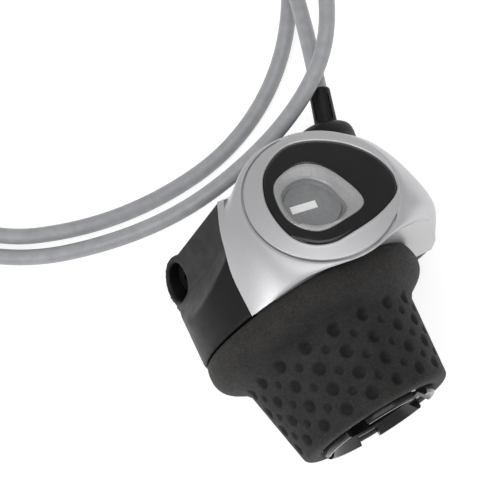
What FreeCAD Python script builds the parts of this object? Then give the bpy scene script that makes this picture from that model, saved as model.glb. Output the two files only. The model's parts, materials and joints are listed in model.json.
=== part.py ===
import FreeCAD, Part
import math
import os
from FreeCAD import Vector

# Twist-grip gear shifter for a 22.2 mm handlebar, right-hand unit, in millimetres.
# Origin: centre of the clamp collar on the bar's axis. +X outboard along the bar, +Y forward, +Z up.

# The bar and the collar that grips it
BAR_BORE_R = 11.15
CLAMP_HALF = 7.0
DIVIDER_T = 1.3
COLLAR_R = 15.0
SLIT = 1.6

# Stations along the bar
SEAM_X = 20.0
GRIP_END_X = 51.0
SLEEVE_END_X = 52.4
JOURNAL_END_X = 26.0
FLOOR_Z = -27.6

# Housing shell
HOUSING_X = -CLAMP_HALF
R_INBOARD = 24.2
R_SEAM = 27.2
FRONT_Y = 34.4
MOUTH_R = 24.95
WALL = 2.0

# Plane that parts the silver cover from the black housing: PARTING_N . P = PARTING_D
PARTING_N = Vector(0.06, 0.604, 0.797).normalize()
PARTING_D = 14.2
PARTING_GAP = 0.05

# Display, a round land whose normal leans inboard and forward
DISPLAY_CENTRE = Vector(4.35, 15.8, 21.0)
DISPLAY_N = Vector(-0.256, 0.290, 0.922).normalize()
DISPLAY_U = Vector(0.518, 0.846, -0.122)
LAND_R = 19.6
GROOVE_R = 17.5
GROOVE_W = 0.5
BEZEL_TOP = 1.3
DIAL_U = -1.8
DIAL_V = -1.4
DIAL_R = 6.6
POINTER_L = 6.0
POINTER_W = 1.9
POINTER_T = 0.2
POINTER_TAIL = 0.9
POINTER_DEG = 200.0
PIN_R = 0.75
PIN_GAP = 0.1

# The display panel is a rounded triangle that points along +u; the window is a teardrop in it.
PANEL = [
    (-12.8, 2.3), (-8.4, 12.3), (0.9, 14.4), (11.6, 10.7),
    (16.6, 2.8), (10.6, -7.4), (-0.7, -13.4), (-9.5, -8.2),
]
WINDOW = [
    (-10.5, 0.9), (-7.6, 5.8), (-2.5, 7.7), (3.5, 4.8),
    (9.4, -2.2), (4.9, -7.4), (-1.2, -10.3), (-7.5, -7.2),
]

# Journal, sleeve and drum
JOURNAL_R = 12.9
DRUM_BORE_R = 13.0
SLEEVE_BORE_R = 11.35
SLEEVE_R = 14.5
HUB_R = 20.0
WIRE_COIL_R = 15.5
WIRE_X = 14.3
WIRE_R = 0.6
RIM_R = 17.2
TWIST_DEG = 98.0
TWIST_STEPS = 7
WIRE_EXIT_DEG = -90.0
NIPPLE_DEG = WIRE_EXIT_DEG - TWIST_DEG - 20.0
DETENT_DEG = 225.0
SLEEVE_FLANGE_X = 19.2
FLANGE_R = 27.5
NECK_R = 21.3
GRIP_END_R = 19.0
NOTCHES = 5
DRIVE_DOGS = 4

WASHER_X = CLAMP_HALF + DIVIDER_T + 0.05
WASHER_T = 0.8
DRUM_ROOM_R = 22.9

# Split ring in the journal's groove
RING_X = 24.5
RING_T = 0.9
RING_IN_R = 12.25
RING_GAP = 0.05

# Face teeth of the drum and the two-step idler
MODULE = 0.8
CROWN_TEETH = 54
WHEEL_TEETH = 13
PINION_TEETH = 8
DIAL_TEETH = 16
FACE_X = 9.8
CROWN_R = CROWN_TEETH * MODULE / 2
CROWN_PITCH_DEG = 360.0 / CROWN_TEETH
CROWN_SPARE = 1.5
WHEEL_PITCH_R = WHEEL_TEETH * MODULE / 2
WHEEL_HALF = 0.6

# Cable outlet
OUTLET_DIR = Vector(-0.936, 0.352, 0).normalize()
OUTLET_TIP = Vector(-27.0, 31.0, -WIRE_COIL_R)
GUIDE_BEND_R = 9.0
GUIDE_HALF = 2.5
CASING_R = 2.0
CASING_SEAT = 6.0
BARREL_BASE = 9.5
BARREL_END = 16.5
BARREL_R = 2.8
BARREL_FLUTES = 8
BOOT_BORE_R = 3.0

# Clamp screw, across the slit under the bar, its head up and to the rear
SCREW_TILT_DEG = 35.0
SCREW_OFFSET = 14.8
SCREW_X = -1.8
SCREW_R = 2.5
HEAD_R = 4.25
HEAD_H = 4.75
HEAD_SEAT = 8.5
HEX_R = 2.3
HEX_DEPTH = 2.6
COUNTERBORE_R = 4.5
BOSS_R = 6.2
NUT_BACK = 4.5
NUT_T = 4.0
NUT_SIDE = 8.0
# The housing is flat round the screw's mouth; the flat climbs to the round drum case beyond FLAT_TURN_X.
FLAT_ALONG = 17.0
FLAT_RISE = 0.2
FLAT_TURN_X = 2.0
CASE_RISE = 1.0

# Posts for the two screws that hold the cover
POSTS = [(2.5, 29.3), (15.0, 29.3)]
POST_R = 2.7
POST_SEAT_Z = -13.0
POST_SCREW_R = 1.1
POST_HEAD_R = 2.1
POST_HEAD_H = 1.8

X_AXIS = Vector(1, 0, 0)
Z_AXIS = Vector(0, 0, 1)
ZERO = Vector(0, 0, 0)

os.makedirs("parts", exist_ok=True)


def save(name, shape):
    """Writes a node and prints its volume."""
    shape.exportStep(f"parts/{name}.step")
    print(f"{name}: {len(shape.Solids)} solid(s), {shape.Volume:.1f} mm3, valid {shape.isValid()}")


def polar(radius, degrees, x=0.0):
    """A point round the bar axis, the angle counted from +Y towards +Z."""
    a = math.radians(degrees)
    return Vector(x, radius * math.cos(a), radius * math.sin(a))


def turned(profile, start_deg=0.0, sweep_deg=360.0):
    """A solid turned about the bar axis from (x, radius) corners, all round or a sector."""
    corners = [Vector(x, r, 0) for x, r in profile]
    face = Part.Face(Part.makePolygon(corners + corners[:1]))
    face.rotate(ZERO, X_AXIS, start_deg)
    return face.revolve(ZERO, X_AXIS, sweep_deg)


def tube(x0, x1, r_in, r_out):
    return turned([(x0, r_in), (x1, r_in), (x1, r_out), (x0, r_out)])


def rod(start, end, radius, radius_end=None):
    """A cylinder, or a cone, between two points."""
    along = end - start
    if radius_end is None:
        return Part.makeCylinder(radius, along.Length, start, along)
    return Part.makeCone(radius, radius_end, along.Length, start, along)


def half_space(normal, distance, keep_above):
    """A large box on one side of the plane normal . P = distance."""
    size = 240.0
    box = Part.makeBox(size, size, size, Vector(-size / 2, -size / 2, 0))
    box.Placement = FreeCAD.Placement(normal * distance, FreeCAD.Rotation(Z_AXIS, normal))
    if not keep_above:
        box.translate(normal * -size)
    return box


def display_place(lift=0.0, u=0.0, v=0.0):
    """Placement whose x, y and z are the display's u, v and normal."""
    side = DISPLAY_N.cross(DISPLAY_U).normalize()
    across = side.cross(DISPLAY_N)
    turn = FreeCAD.Rotation(across, side, DISPLAY_N, "ZXY")
    return FreeCAD.Placement(DISPLAY_CENTRE + across * u + side * v + DISPLAY_N * lift, turn)


def in_display(shape, lift=0.0, u=0.0, v=0.0):
    """Moves a shape drawn about the origin onto the display."""
    shape.Placement = display_place(lift, u, v).multiply(shape.Placement)
    return shape


def disc(radius, low, high, hole=0.0):
    """A disc, or a ring, about z."""
    body = Part.makeCylinder(radius, high - low, Vector(0, 0, low))
    if hole:
        body = body.cut(Part.makeCylinder(hole, high - low + 2, Vector(0, 0, low - 1)))
    return body


def closed_curve(points, grow=0.0):
    """A smooth closed face through points round the origin, grown outwards."""
    spline = Part.BSplineCurve()
    out = [Vector(x, y, 0) * (1 + grow / math.hypot(x, y)) for x, y in points]
    spline.interpolate(out, PeriodicFlag=True)
    return Part.Face(Part.Wire(spline.toShape()))


def slab(face, low, high):
    """The face extruded along z from low to high."""
    lowered = face.copy()
    lowered.translate(Vector(0, 0, low))
    return lowered.extrude(Vector(0, 0, high - low))


def outer_section(x, inset):
    """The housing's outline across the bar at x: round behind, with a bulge in front for the cable outlet."""
    share = (x - HOUSING_X) / (SEAM_X - HOUSING_X)
    r = R_INBOARD + (R_SEAM - R_INBOARD) * share - inset
    front = FRONT_Y - 1.6 * (1 - share) - inset
    shoulder = 13.6 + 6.6 * share - inset
    floor = FLOOR_Z + inset
    p = {
        "heel": Vector(x, -9.0, floor),
        "heel_mid": polar(r, 232, x),
        "rear_low": polar(r, 215, x),
        "rear": polar(r, 160, x),
        "top": polar(r, 84, x),
        "shoulder": Vector(x, front - 6.5, shoulder),
        "shoulder_mid": Vector(x, front - 1.6, shoulder - 4.6),
        "front_high": Vector(x, front, shoulder - 11.0),
        "front_low": Vector(x, front, -14.0),
        "front_mid": Vector(x, front - 3.6, floor + 4.0),
        "toe": Vector(x, front - 11.0, floor),
    }
    edges = [
        Part.Arc(p["heel"], p["heel_mid"], p["rear_low"]).toShape(),
        Part.Arc(p["rear_low"], p["rear"], p["top"]).toShape(),
        Part.LineSegment(p["top"], p["shoulder"]).toShape(),
        Part.Arc(p["shoulder"], p["shoulder_mid"], p["front_high"]).toShape(),
        Part.LineSegment(p["front_high"], p["front_low"]).toShape(),
        Part.Arc(p["front_low"], p["front_mid"], p["toe"]).toShape(),
        Part.LineSegment(p["toe"], p["heel"]).toShape(),
    ]
    return Part.Wire(edges)


def envelope(x0, x1, inset=0.0):
    """The housing's whole outer form between two stations."""
    return Part.makeLoft([outer_section(x0, inset), outer_section(x1, inset)], True, True)


def land(radius, low, high):
    """The tilted round land under the display."""
    return in_display(disc(radius, low, high))


def outlet_point(back):
    """A point on the outlet's axis, measured back from its tip."""
    return OUTLET_TIP - OUTLET_DIR * back


SCREW_DIR = Vector(0, -math.cos(math.radians(SCREW_TILT_DEG)), math.sin(math.radians(SCREW_TILT_DEG)))
SCREW_BASE = Vector(0, -math.sin(math.radians(SCREW_TILT_DEG)), -math.cos(math.radians(SCREW_TILT_DEG)))
SCREW_BASE = SCREW_BASE * SCREW_OFFSET + Vector(SCREW_X, 0, 0)


def screw_point(along):
    return SCREW_BASE + SCREW_DIR * along


def beyond_flat(inset):
    """Everything outside the flat round the screw's mouth and the slope from it to the drum case."""
    flat_n = SCREW_DIR - X_AXIS * FLAT_RISE
    case_n = SCREW_DIR - X_AXIS * CASE_RISE
    turn_along = FLAT_ALONG + FLAT_RISE * (FLAT_TURN_X - SCREW_X)
    turn = SCREW_DIR * turn_along + X_AXIS * FLAT_TURN_X
    sides = []
    for normal in (flat_n, case_n):
        normal.normalize()
        sides.append(half_space(normal, normal.dot(turn) - inset, True))
    return sides[0].common(sides[1])


def make_shells():
    """The outer and inner forms of cover and housing before they are parted."""
    outer = envelope(HOUSING_X, SEAM_X).fuse(land(LAND_R, -6.5, 0.0))
    outer = outer.cut(land(LAND_R + 3, 0.0, 9.0)).common(half_space(X_AXIS, SEAM_X, False))
    outer = outer.cut(beyond_flat(0.0))
    inner = envelope(HOUSING_X + WALL, SEAM_X - WALL, WALL).cut(beyond_flat(WALL))
    inner = inner.fuse(land(LAND_R - WALL, -9.5, -WALL)).common(half_space(X_AXIS, SEAM_X - WALL, False))
    mouth = Part.makeCylinder(MOUTH_R, 6.0, Vector(SEAM_X - 4, 0, 0), X_AXIS)
    return outer, inner.fuse(mouth)


def make_posts(outer, side):
    """Screw posts in the front bulge, on one side of the parting plane."""
    height = 60.0
    posts = [Part.makeCylinder(POST_R, height, Vector(x, y, FLOOR_Z)) for x, y in POSTS]
    return [p.common(outer).common(side) for p in posts]


def make_lower_housing(outer, inner, guide):
    """Black bracket: shell below the parting plane, collar with its slit, screw boss, divider and journal."""
    below = half_space(PARTING_N, PARTING_D - PARTING_GAP, False)
    shell = outer.cut(inner).common(below)
    collar = tube(-CLAMP_HALF, CLAMP_HALF + DIVIDER_T, BAR_BORE_R, COLLAR_R)
    journal = tube(CLAMP_HALF, JOURNAL_END_X, BAR_BORE_R, JOURNAL_R)
    boss = rod(screw_point(-9.5), screw_point(FLAT_ALONG + 3), BOSS_R).cut(beyond_flat(0.0))
    web = Part.makeBox(13.0, 19.0, 12.0, Vector(-6.5, -9.5, FLOOR_Z + WALL - 0.5))
    divider = tube(CLAMP_HALF, CLAMP_HALF + DIVIDER_T, COLLAR_R - 1, 18.2)
    ribs = Part.makeBox(DIVIDER_T, 60.0, 30.0, Vector(CLAMP_HALF, -27.0, FLOOR_Z + 1))
    ribs = ribs.common(envelope(HOUSING_X + 1, SEAM_X, WALL - 0.5))
    ribs = ribs.common(half_space(Z_AXIS, -9.0, False))
    body = shell.fuse([collar, journal, boss, web, divider, ribs] + make_posts(outer, below))
    body = body.cut(Part.makeCylinder(BAR_BORE_R, 60.0, Vector(-20, 0, 0), X_AXIS))
    body = body.cut(Part.makeCylinder(SLEEVE_BORE_R, 30.0, Vector(CLAMP_HALF, 0, 0), X_AXIS))
    slit_out = Vector(0, SCREW_BASE.y, SCREW_BASE.z).normalize()
    slit = Part.makeBox(CLAMP_HALF * 2 - 1.0, SLIT, 30.0, Vector(-CLAMP_HALF - 1, -SLIT / 2, 0))
    slit.Placement = FreeCAD.Placement(ZERO, FreeCAD.Rotation(Z_AXIS, slit_out))
    hole = rod(screw_point(-12), screw_point(HEAD_SEAT + 1), SCREW_R + 0.15)
    counterbore = rod(screw_point(HEAD_SEAT), screw_point(FLAT_ALONG + 6), COUNTERBORE_R)
    nut_pocket = make_clamp_nut(0.1)
    drum_room = tube(CLAMP_HALF + DIVIDER_T, SEAM_X + 1, JOURNAL_R, DRUM_ROOM_R)
    ring_groove = tube(RING_X - RING_GAP, RING_X + RING_T + RING_GAP, RING_IN_R - RING_GAP, JOURNAL_R + 1)
    outlet_room = rod(outlet_point(26), outlet_point(6), 4.3)
    for tool in (slit, hole, counterbore, nut_pocket, drum_room, ring_groove, outlet_room):
        body = body.cut(tool)
    for x, y in POSTS:
        body = body.cut(Part.makeCylinder(POST_HEAD_R + 0.2, 18.0, Vector(x, y, POST_SEAT_Z - 18.0)))
        body = body.cut(Part.makeCylinder(POST_SCREW_R + 0.1, 20.0, Vector(x, y, POST_SEAT_Z - 1.0)))
    start, bend = guide_path()
    wire_room = [rod(start, bend[0], 1.2), rod(bend[0], bend[1], 1.2), rod(bend[2], outlet_point(20), 1.2)]
    for tool in wire_room + [guide]:
        body = body.cut(tool)
    return max(body.Solids, key=lambda solid: solid.Volume)


def make_clamp_nut(gap=0.0):
    """Square nut in its pocket at the screw's far end."""
    side = NUT_SIDE + 2 * gap
    block = Part.makeBox(side, side, NUT_T + 2 * gap, Vector(-side / 2, -side / 2, -gap))
    turn = FreeCAD.Rotation(Z_AXIS, SCREW_DIR)
    block.Placement = FreeCAD.Placement(screw_point(-NUT_BACK - NUT_T), turn)
    return block if gap else block.cut(rod(screw_point(-12), screw_point(0), SCREW_R + 0.05))


def make_clamp_screw():
    """M5 socket-head screw with its hexagon recess."""
    shank = rod(screw_point(-10.0), screw_point(HEAD_SEAT + 0.1), SCREW_R)
    head_low = HEAD_SEAT + 0.05
    head = rod(screw_point(head_low), screw_point(head_low + HEAD_H), HEAD_R)
    angles = [math.radians(60 * k) for k in range(7)]
    corners = [Vector(math.cos(a), math.sin(a), 0) * HEX_R for a in angles]
    recess = Part.Face(Part.makePolygon(corners)).extrude(Vector(0, 0, HEX_DEPTH + 1))
    turn = FreeCAD.Rotation(Z_AXIS, SCREW_DIR)
    recess.Placement = FreeCAD.Placement(screw_point(head_low + HEAD_H - HEX_DEPTH), turn)
    return shank.fuse(head).cut(recess)


def make_cover(outer, inner):
    """Silver upper cover with the round land, its groove and the well for the display."""
    above = half_space(PARTING_N, PARTING_D + PARTING_GAP, True)
    shell = outer.cut(inner).common(above).fuse(make_posts(outer, above))
    shell = shell.cut(tube(CLAMP_HALF, SEAM_X + 1, 1.0, DRUM_ROOM_R))
    for x, y in POSTS:
        shell = shell.cut(Part.makeCylinder(POST_SCREW_R, 14.0, Vector(x, y, POST_SEAT_Z)))
    groove = in_display(disc(GROOVE_R + GROOVE_W, -0.7, 0.5, GROOVE_R - GROOVE_W))
    return shell.cut(groove).cut(in_display(slab(closed_curve(PANEL, -1.2), -12.0, 2.0)))


def make_bezel():
    """Silver ring between the groove and the black panel, standing a little above the land."""
    ring = disc(GROOVE_R - GROOVE_W, 0.0, BEZEL_TOP)
    ring = ring.cut(slab(closed_curve(PANEL, 0.05), -1.0, 3.0))
    return in_display(ring)


def make_panel():
    """Black panel with the window's teardrop opening."""
    plate = slab(closed_curve(PANEL), 0.0, BEZEL_TOP + 0.5)
    return in_display(plate.cut(slab(closed_curve(WINDOW), -1.0, 4.0)))


def make_window_ring():
    ring = slab(closed_curve(WINDOW, -0.05), -0.6, BEZEL_TOP + 0.7)
    return in_display(ring.cut(slab(closed_curve(WINDOW, -1.0), -2.0, 4.0)))


def make_lens():
    return in_display(slab(closed_curve(WINDOW, -1.05), 0.2, BEZEL_TOP + 0.6))


# Gear train between the drum's face teeth and the dial. The wheel meshes where the crown runs in the wheel's
# plane, which is the display's.
MESH_DEG = math.degrees(math.atan2(DISPLAY_N.z, DISPLAY_N.y))
MESH_T = Vector(0, -math.sin(math.radians(MESH_DEG)), math.cos(math.radians(MESH_DEG)))
MESH_M = DISPLAY_N.cross(MESH_T)
MESH_POINT = polar(CROWN_R, MESH_DEG, FACE_X - MODULE)
IDLER_AXIS = MESH_POINT - MESH_M * WHEEL_PITCH_R
DIAL_AXIS = display_place(0, DIAL_U, DIAL_V).Base
WHEEL_LIFT = (MESH_POINT - DISPLAY_CENTRE).dot(DISPLAY_N)
DIAL_GEAR_LOW = WHEEL_LIFT + 0.75
DIAL_GEAR_HIGH = DIAL_GEAR_LOW + 1.0
DIAL_TOP = DIAL_GEAR_HIGH + 0.8
BETWEEN_AXES = DIAL_AXIS - IDLER_AXIS
CENTRE_DISTANCE = (BETWEEN_AXES - DISPLAY_N * BETWEEN_AXES.dot(DISPLAY_N)).Length
FINE_MODULE = 2 * CENTRE_DISTANCE / (PINION_TEETH + DIAL_TEETH)


def local(point):
    """A point's (u, v) on the display."""
    inside = display_place().inverse().multVec(point)
    return inside.x, inside.y


def gear(teeth, module, low, high, first_deg):
    """A spur gear about z with slim trapezoid teeth, one of them at first_deg."""
    pitch_r = teeth * module / 2
    root, tip = pitch_r - 1.15 * module, pitch_r + 0.75 * module
    half_root, half_tip = 0.62 * module, 0.22 * module
    body = Part.makeCylinder(root, high - low, Vector(0, 0, low))
    corners = [(root - 0.3, -half_root), (tip, -half_tip), (tip, half_tip), (root - 0.3, half_root)]
    tooth_face = Part.Face(Part.makePolygon([Vector(x, y, low) for x, y in corners + corners[:1]]))
    tooth = tooth_face.extrude(Vector(0, 0, high - low))
    ring = []
    for k in range(teeth):
        one = tooth.copy()
        one.rotate(ZERO, Z_AXIS, first_deg + 360.0 * k / teeth)
        ring.append(one)
    return body.fuse(ring).removeSplitter()


def bearing_deg(start, end):
    """Direction from one (u, v) to another, in degrees."""
    return math.degrees(math.atan2(end[1] - start[1], end[0] - start[0]))


def make_idler():
    """Wheel that meets the drum's face teeth, with a pinion on top for the dial."""
    at = local(IDLER_AXIS)
    to_crown = bearing_deg(at, local(MESH_POINT))
    to_dial = bearing_deg(at, (DIAL_U, DIAL_V))
    wheel = gear(WHEEL_TEETH, MODULE, WHEEL_LIFT - WHEEL_HALF, WHEEL_LIFT + WHEEL_HALF, to_crown)
    pinion = gear(PINION_TEETH, FINE_MODULE, WHEEL_LIFT + WHEEL_HALF, DIAL_GEAR_HIGH, to_dial)
    body = wheel.fuse(pinion).cut(disc(PIN_R + PIN_GAP, -12, 2))
    return in_display(body, 0, *at)


def make_dial():
    """Round dial on its gear."""
    to_idler = bearing_deg((DIAL_U, DIAL_V), local(IDLER_AXIS))
    toothed = gear(DIAL_TEETH, FINE_MODULE, DIAL_GEAR_LOW, DIAL_GEAR_HIGH, to_idler + 180.0 / DIAL_TEETH)
    plate = disc(DIAL_R - 0.1, DIAL_GEAR_HIGH, DIAL_TOP)
    bore = disc(PIN_R + PIN_GAP, -12, DIAL_TOP - 0.4)
    return in_display(toothed.fuse(plate).cut(bore), 0, DIAL_U, DIAL_V)


def make_pointer():
    """Marker bar from the dial's centre towards its rim."""
    bar = Part.makeBox(POINTER_L, POINTER_W, POINTER_T, Vector(-POINTER_TAIL, -POINTER_W / 2, DIAL_TOP))
    bar.rotate(ZERO, Z_AXIS, POINTER_DEG)
    return in_display(bar, 0, DIAL_U, DIAL_V)


def make_gear_pins():
    """The two pins that idler and dial turn on."""
    idler_pin = in_display(disc(PIN_R, WHEEL_LIFT - 1.3, DIAL_GEAR_HIGH - 0.1), 0, *local(IDLER_AXIS))
    dial_pin = in_display(disc(PIN_R, WHEEL_LIFT - 1.3, DIAL_TOP - 0.5), 0, DIAL_U, DIAL_V)
    return Part.makeCompound([idler_pin, dial_pin])


def make_indicator_base():
    """Cup under the cover that holds the pins, open where the drum's teeth pass."""
    low = WHEEL_LIFT - 2.1
    cup = slab(closed_curve(PANEL, -1.3), low, -0.05)
    cup = cup.cut(slab(closed_curve(PANEL, -2.2), WHEEL_LIFT - 1.3, 1.0))
    cup = in_display(cup)
    cup = cup.cut(tube(7.0, SEAM_X + 2, 1.0, 23.3))
    idler_room = disc(WHEEL_PITCH_R + MODULE + 0.3, WHEEL_LIFT - 0.9, 1.0)
    return cup.cut(in_display(idler_room, 0, *local(IDLER_AXIS)))


def make_dial_cup():
    """Grey recess between the window and the dial."""
    well = slab(closed_curve(WINDOW, -1.1), DIAL_TOP - 0.3, 0.15)
    hole = disc(DIAL_R + 0.15, -12, 3)
    hole.translate(Vector(DIAL_U, DIAL_V, 0))
    return in_display(well.cut(hole))


def make_drum():
    """Drum with the cable groove, detent notches and face teeth, a tooth gap at the mesh at rest."""
    x0, x1 = FACE_X + 1.2, 18.4
    groove_r = WIRE_COIL_R - WIRE_R - 0.05
    groove_half = 1.1
    low_x = WASHER_X + WASHER_T + 0.05
    profile = [
        (low_x, DRUM_BORE_R), (x1, DRUM_BORE_R), (x1, RIM_R), (WIRE_X + groove_half, RIM_R),
        (WIRE_X + groove_half, groove_r), (WIRE_X - groove_half, groove_r), (WIRE_X - groove_half, RIM_R),
        (x0, RIM_R), (x0, 15.2), (low_x, 15.2),
    ]
    body = turned(profile)
    first = MESH_DEG - TWIST_DEG - CROWN_SPARE * CROWN_PITCH_DEG
    last = MESH_DEG + CROWN_SPARE * CROWN_PITCH_DEG
    web = [(FACE_X, 15.1), (x0 + 0.2, 15.1), (x0 + 0.2, CROWN_R + 1.0), (FACE_X, CROWN_R + 1.0)]
    body = body.fuse(turned(web, first, last - first))
    corners = [(FACE_X + 0.2, -0.5), (FACE_X - 1.35, -0.2), (FACE_X - 1.35, 0.2), (FACE_X + 0.2, 0.5)]
    tooth_face = Part.Face(Part.makePolygon([Vector(x, y, CROWN_R - 0.8) for x, y in corners + corners[:1]]))
    tooth = tooth_face.extrude(Vector(0, 0, 1.6))
    count = int((last - first) / CROWN_PITCH_DEG)
    teeth = []
    for k in range(count):
        one = tooth.copy()
        one.rotate(ZERO, X_AXIS, MESH_DEG + CROWN_PITCH_DEG * (0.5 + 1 - k) - 90.0)
        teeth.append(one)
    body = body.fuse(teeth)
    for k in range(TWIST_STEPS + 1):
        at = polar(RIM_R + 0.4, DETENT_DEG - k * TWIST_DEG / TWIST_STEPS, WIRE_X + 1.6)
        body = body.cut(Part.makeCylinder(0.9, 5.0, at, X_AXIS))
    seat = Part.makeCylinder(1.6, 2.4, polar(WIRE_COIL_R, NIPPLE_DEG, WIRE_X - 1.2), X_AXIS)
    return body.cut(seat)


def make_nipple():
    return Part.makeCylinder(1.5, 2.0, polar(WIRE_COIL_R, NIPPLE_DEG, WIRE_X - 1.0), X_AXIS)


def swept(path, radius):
    """A round wire along a path of edges that meet tangentially."""
    first = path.Edges[0]
    at = first.FirstParameter
    section = Part.Wire(Part.makeCircle(radius, first.valueAt(at), first.tangentAt(at)))
    return path.makePipeShell([section], True, True)


def make_drum_wire():
    """Inner wire wound in the groove, from the nipple to where it leaves for the guide."""
    spread = [NIPPLE_DEG + 6.5, (NIPPLE_DEG + WIRE_EXIT_DEG) / 2, WIRE_EXIT_DEG]
    arc = Part.Arc(*[polar(WIRE_COIL_R, d, WIRE_X) for d in spread])
    return swept(Part.Wire([arc.toShape()]), WIRE_R)


def guide_path():
    """The wire's way from under the drum round the guide and into the outlet."""
    turn = math.acos(OUTLET_DIR.y)
    end_y = outlet_y(WIRE_X - GUIDE_BEND_R + GUIDE_BEND_R * math.cos(turn))
    start_y = end_y - GUIDE_BEND_R * math.sin(turn)
    hub = Vector(WIRE_X - GUIDE_BEND_R, start_y, -WIRE_COIL_R)
    on_arc = [hub + Vector(math.cos(a), math.sin(a), 0) * GUIDE_BEND_R for a in (0, turn / 2, turn)]
    return Vector(WIRE_X, 0, -WIRE_COIL_R), on_arc


def outlet_y(x):
    return OUTLET_TIP.y + (x - OUTLET_TIP.x) * OUTLET_DIR.y / OUTLET_DIR.x


def make_guide_wire():
    start, bend = guide_path()
    start = start + Vector(0, 0.1, 0)
    edges = [
        Part.LineSegment(start, bend[0]).toShape(),
        Part.Arc(*bend).toShape(),
        Part.LineSegment(bend[2], outlet_point(CASING_SEAT + 0.05)).toShape(),
    ]
    return swept(Part.Wire(edges), WIRE_R)


def make_cable_guide():
    """Block on the housing floor with a channel round the wire's bend."""
    start, bend = guide_path()
    hub = Vector(WIRE_X - GUIDE_BEND_R, bend[0].y, -WIRE_COIL_R)
    block = Part.makeCylinder(GUIDE_BEND_R + GUIDE_HALF, 8.0, hub - Vector(0, 0, 6.0), Z_AXIS, 75)
    block = block.cut(Part.makeCylinder(GUIDE_BEND_R - GUIDE_HALF, 9.0, hub - Vector(0, 0, 6.5), Z_AXIS))
    channel_r = WIRE_R + 0.15
    channel = swept(Part.Wire([Part.Arc(*bend).toShape()]), channel_r)
    for way in (channel, rod(start, bend[0], channel_r), rod(bend[2], outlet_point(20), channel_r)):
        block = block.cut(way)
    block = block.cut(tube(CLAMP_HALF, SEAM_X + 2, 1.0, RIM_R + 1.2))
    crown_room = tube(FACE_X - 2, FACE_X + 2, 1.0, DRUM_ROOM_R + 0.5)
    return block.cut(crown_room.common(half_space(Z_AXIS, -14.0, True)))


def make_sleeve():
    """Inner sleeve of the grip: flange against the drum, hub, barrel and the notched end."""
    flange_back_x, lip_x, inner_x = 20.9, 49.9, JOURNAL_END_X + 0.6
    profile = [
        (18.5, 14.0), (SLEEVE_FLANGE_X, 14.0), (SLEEVE_FLANGE_X, 24.6), (flange_back_x, 24.6),
        (flange_back_x, HUB_R), (26.5, HUB_R), (30.0, SLEEVE_R), (SLEEVE_END_X - 0.4, SLEEVE_R),
        (SLEEVE_END_X, SLEEVE_R - 0.4), (SLEEVE_END_X, SLEEVE_R - 1.1), (lip_x, SLEEVE_BORE_R),
        (inner_x, SLEEVE_BORE_R), (inner_x, 14.3), (24.2, 14.3), (24.2, DRUM_BORE_R), (18.5, DRUM_BORE_R),
    ]
    body = turned(profile)
    for k in range(NOTCHES):
        notch = Part.makeBox(2.0, 5.2, 4.4, Vector(SLEEVE_END_X - 2.0, -2.6, SLEEVE_R - 3.4))
        notch.rotate(ZERO, X_AXIS, 360.0 / NOTCHES * k + 20)
        body = body.cut(notch)
    for k in range(DRIVE_DOGS):
        dog = Part.makeBox(0.95, 4.0, 2.2, Vector(18.4, -2.0, 14.4))
        dog.rotate(ZERO, X_AXIS, 360.0 / DRIVE_DOGS * k)
        body = body.fuse(dog)
    return body


def make_rubber_grip():
    """Rubber grip: fat rounded flange, concave neck, tapering barrel and round end."""
    outer = [
        ((20.9, 26.0), (21.4, 26.9), (22.3, 27.3)), ((22.3, 27.3), (24.6, FLANGE_R), (26.6, 26.6)),
        ((26.6, 26.6), (28.6, 25.0), (29.2, 22.8)), ((29.2, 22.8), (29.7, 21.7), (31.0, NECK_R)),
    ]
    lip = [(20.9, HUB_R), (20.9, 24.7), (20.3, 24.7), (20.3, 25.6), (20.9, 26.0)]
    tail = [
        (31.0, NECK_R), (49.6, GRIP_END_R), (50.6, GRIP_END_R - 0.6), (GRIP_END_X, GRIP_END_R - 1.6),
        (GRIP_END_X, 15.4), (50.4, SLEEVE_R), (30.0, SLEEVE_R), (26.5, HUB_R), (20.9, HUB_R),
    ]
    edges = []
    for a, b in list(zip(lip, lip[1:])) + list(zip(tail, tail[1:])):
        edges.append(Part.LineSegment(Vector(*a, 0), Vector(*b, 0)).toShape())
    edges += [Part.Arc(*[Vector(x, r, 0) for x, r in arc]).toShape() for arc in outer]
    face = Part.Face(Part.Wire(Part.__sortEdges__(edges)))
    return face.revolve(ZERO, X_AXIS, 360)


def on_outlet(profile):
    """A solid turned about the outlet's axis from (distance back from the tip, radius) corners."""
    body = turned(profile)
    body.Placement = FreeCAD.Placement(OUTLET_TIP, FreeCAD.Rotation(X_AXIS, OUTLET_DIR * -1))
    return body


def make_boot():
    """Black dome of the housing round the cable outlet."""
    outer = [(9.2, 3.6), (9.8, 5.0), (11.0, 6.6), (12.8, 7.8), (15.2, 8.7), (18.0, 9.2), (22.0, 9.3)]
    body = on_outlet(outer + [(22.0, BOOT_BORE_R), (9.2, BOOT_BORE_R)])
    behind = half_space(X_AXIS, HOUSING_X - 0.02, False)
    return body.common(behind)


def make_adjuster():
    """Tapered barrel adjuster, hollow for the cable's end."""
    outer = [(0.0, 2.4), (0.4, 2.6), (BARREL_BASE, BARREL_R), (BARREL_END, BARREL_R)]
    bore = [(BARREL_END, 1.0), (CASING_SEAT, 1.0), (CASING_SEAT, CASING_R + 0.1), (0.0, CASING_R + 0.1)]
    body = on_outlet(outer + bore)
    place = FreeCAD.Placement(OUTLET_TIP, FreeCAD.Rotation(X_AXIS, OUTLET_DIR * -1))
    for k in range(BARREL_FLUTES):
        flute = Part.makeBox(6.3, 0.6, 1.0, Vector(1.8, -0.3, 2.45))
        flute.rotate(ZERO, X_AXIS, 360.0 / BARREL_FLUTES * k)
        flute.Placement = place.multiply(flute.Placement)
        body = body.cut(flute)
    return body


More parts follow.
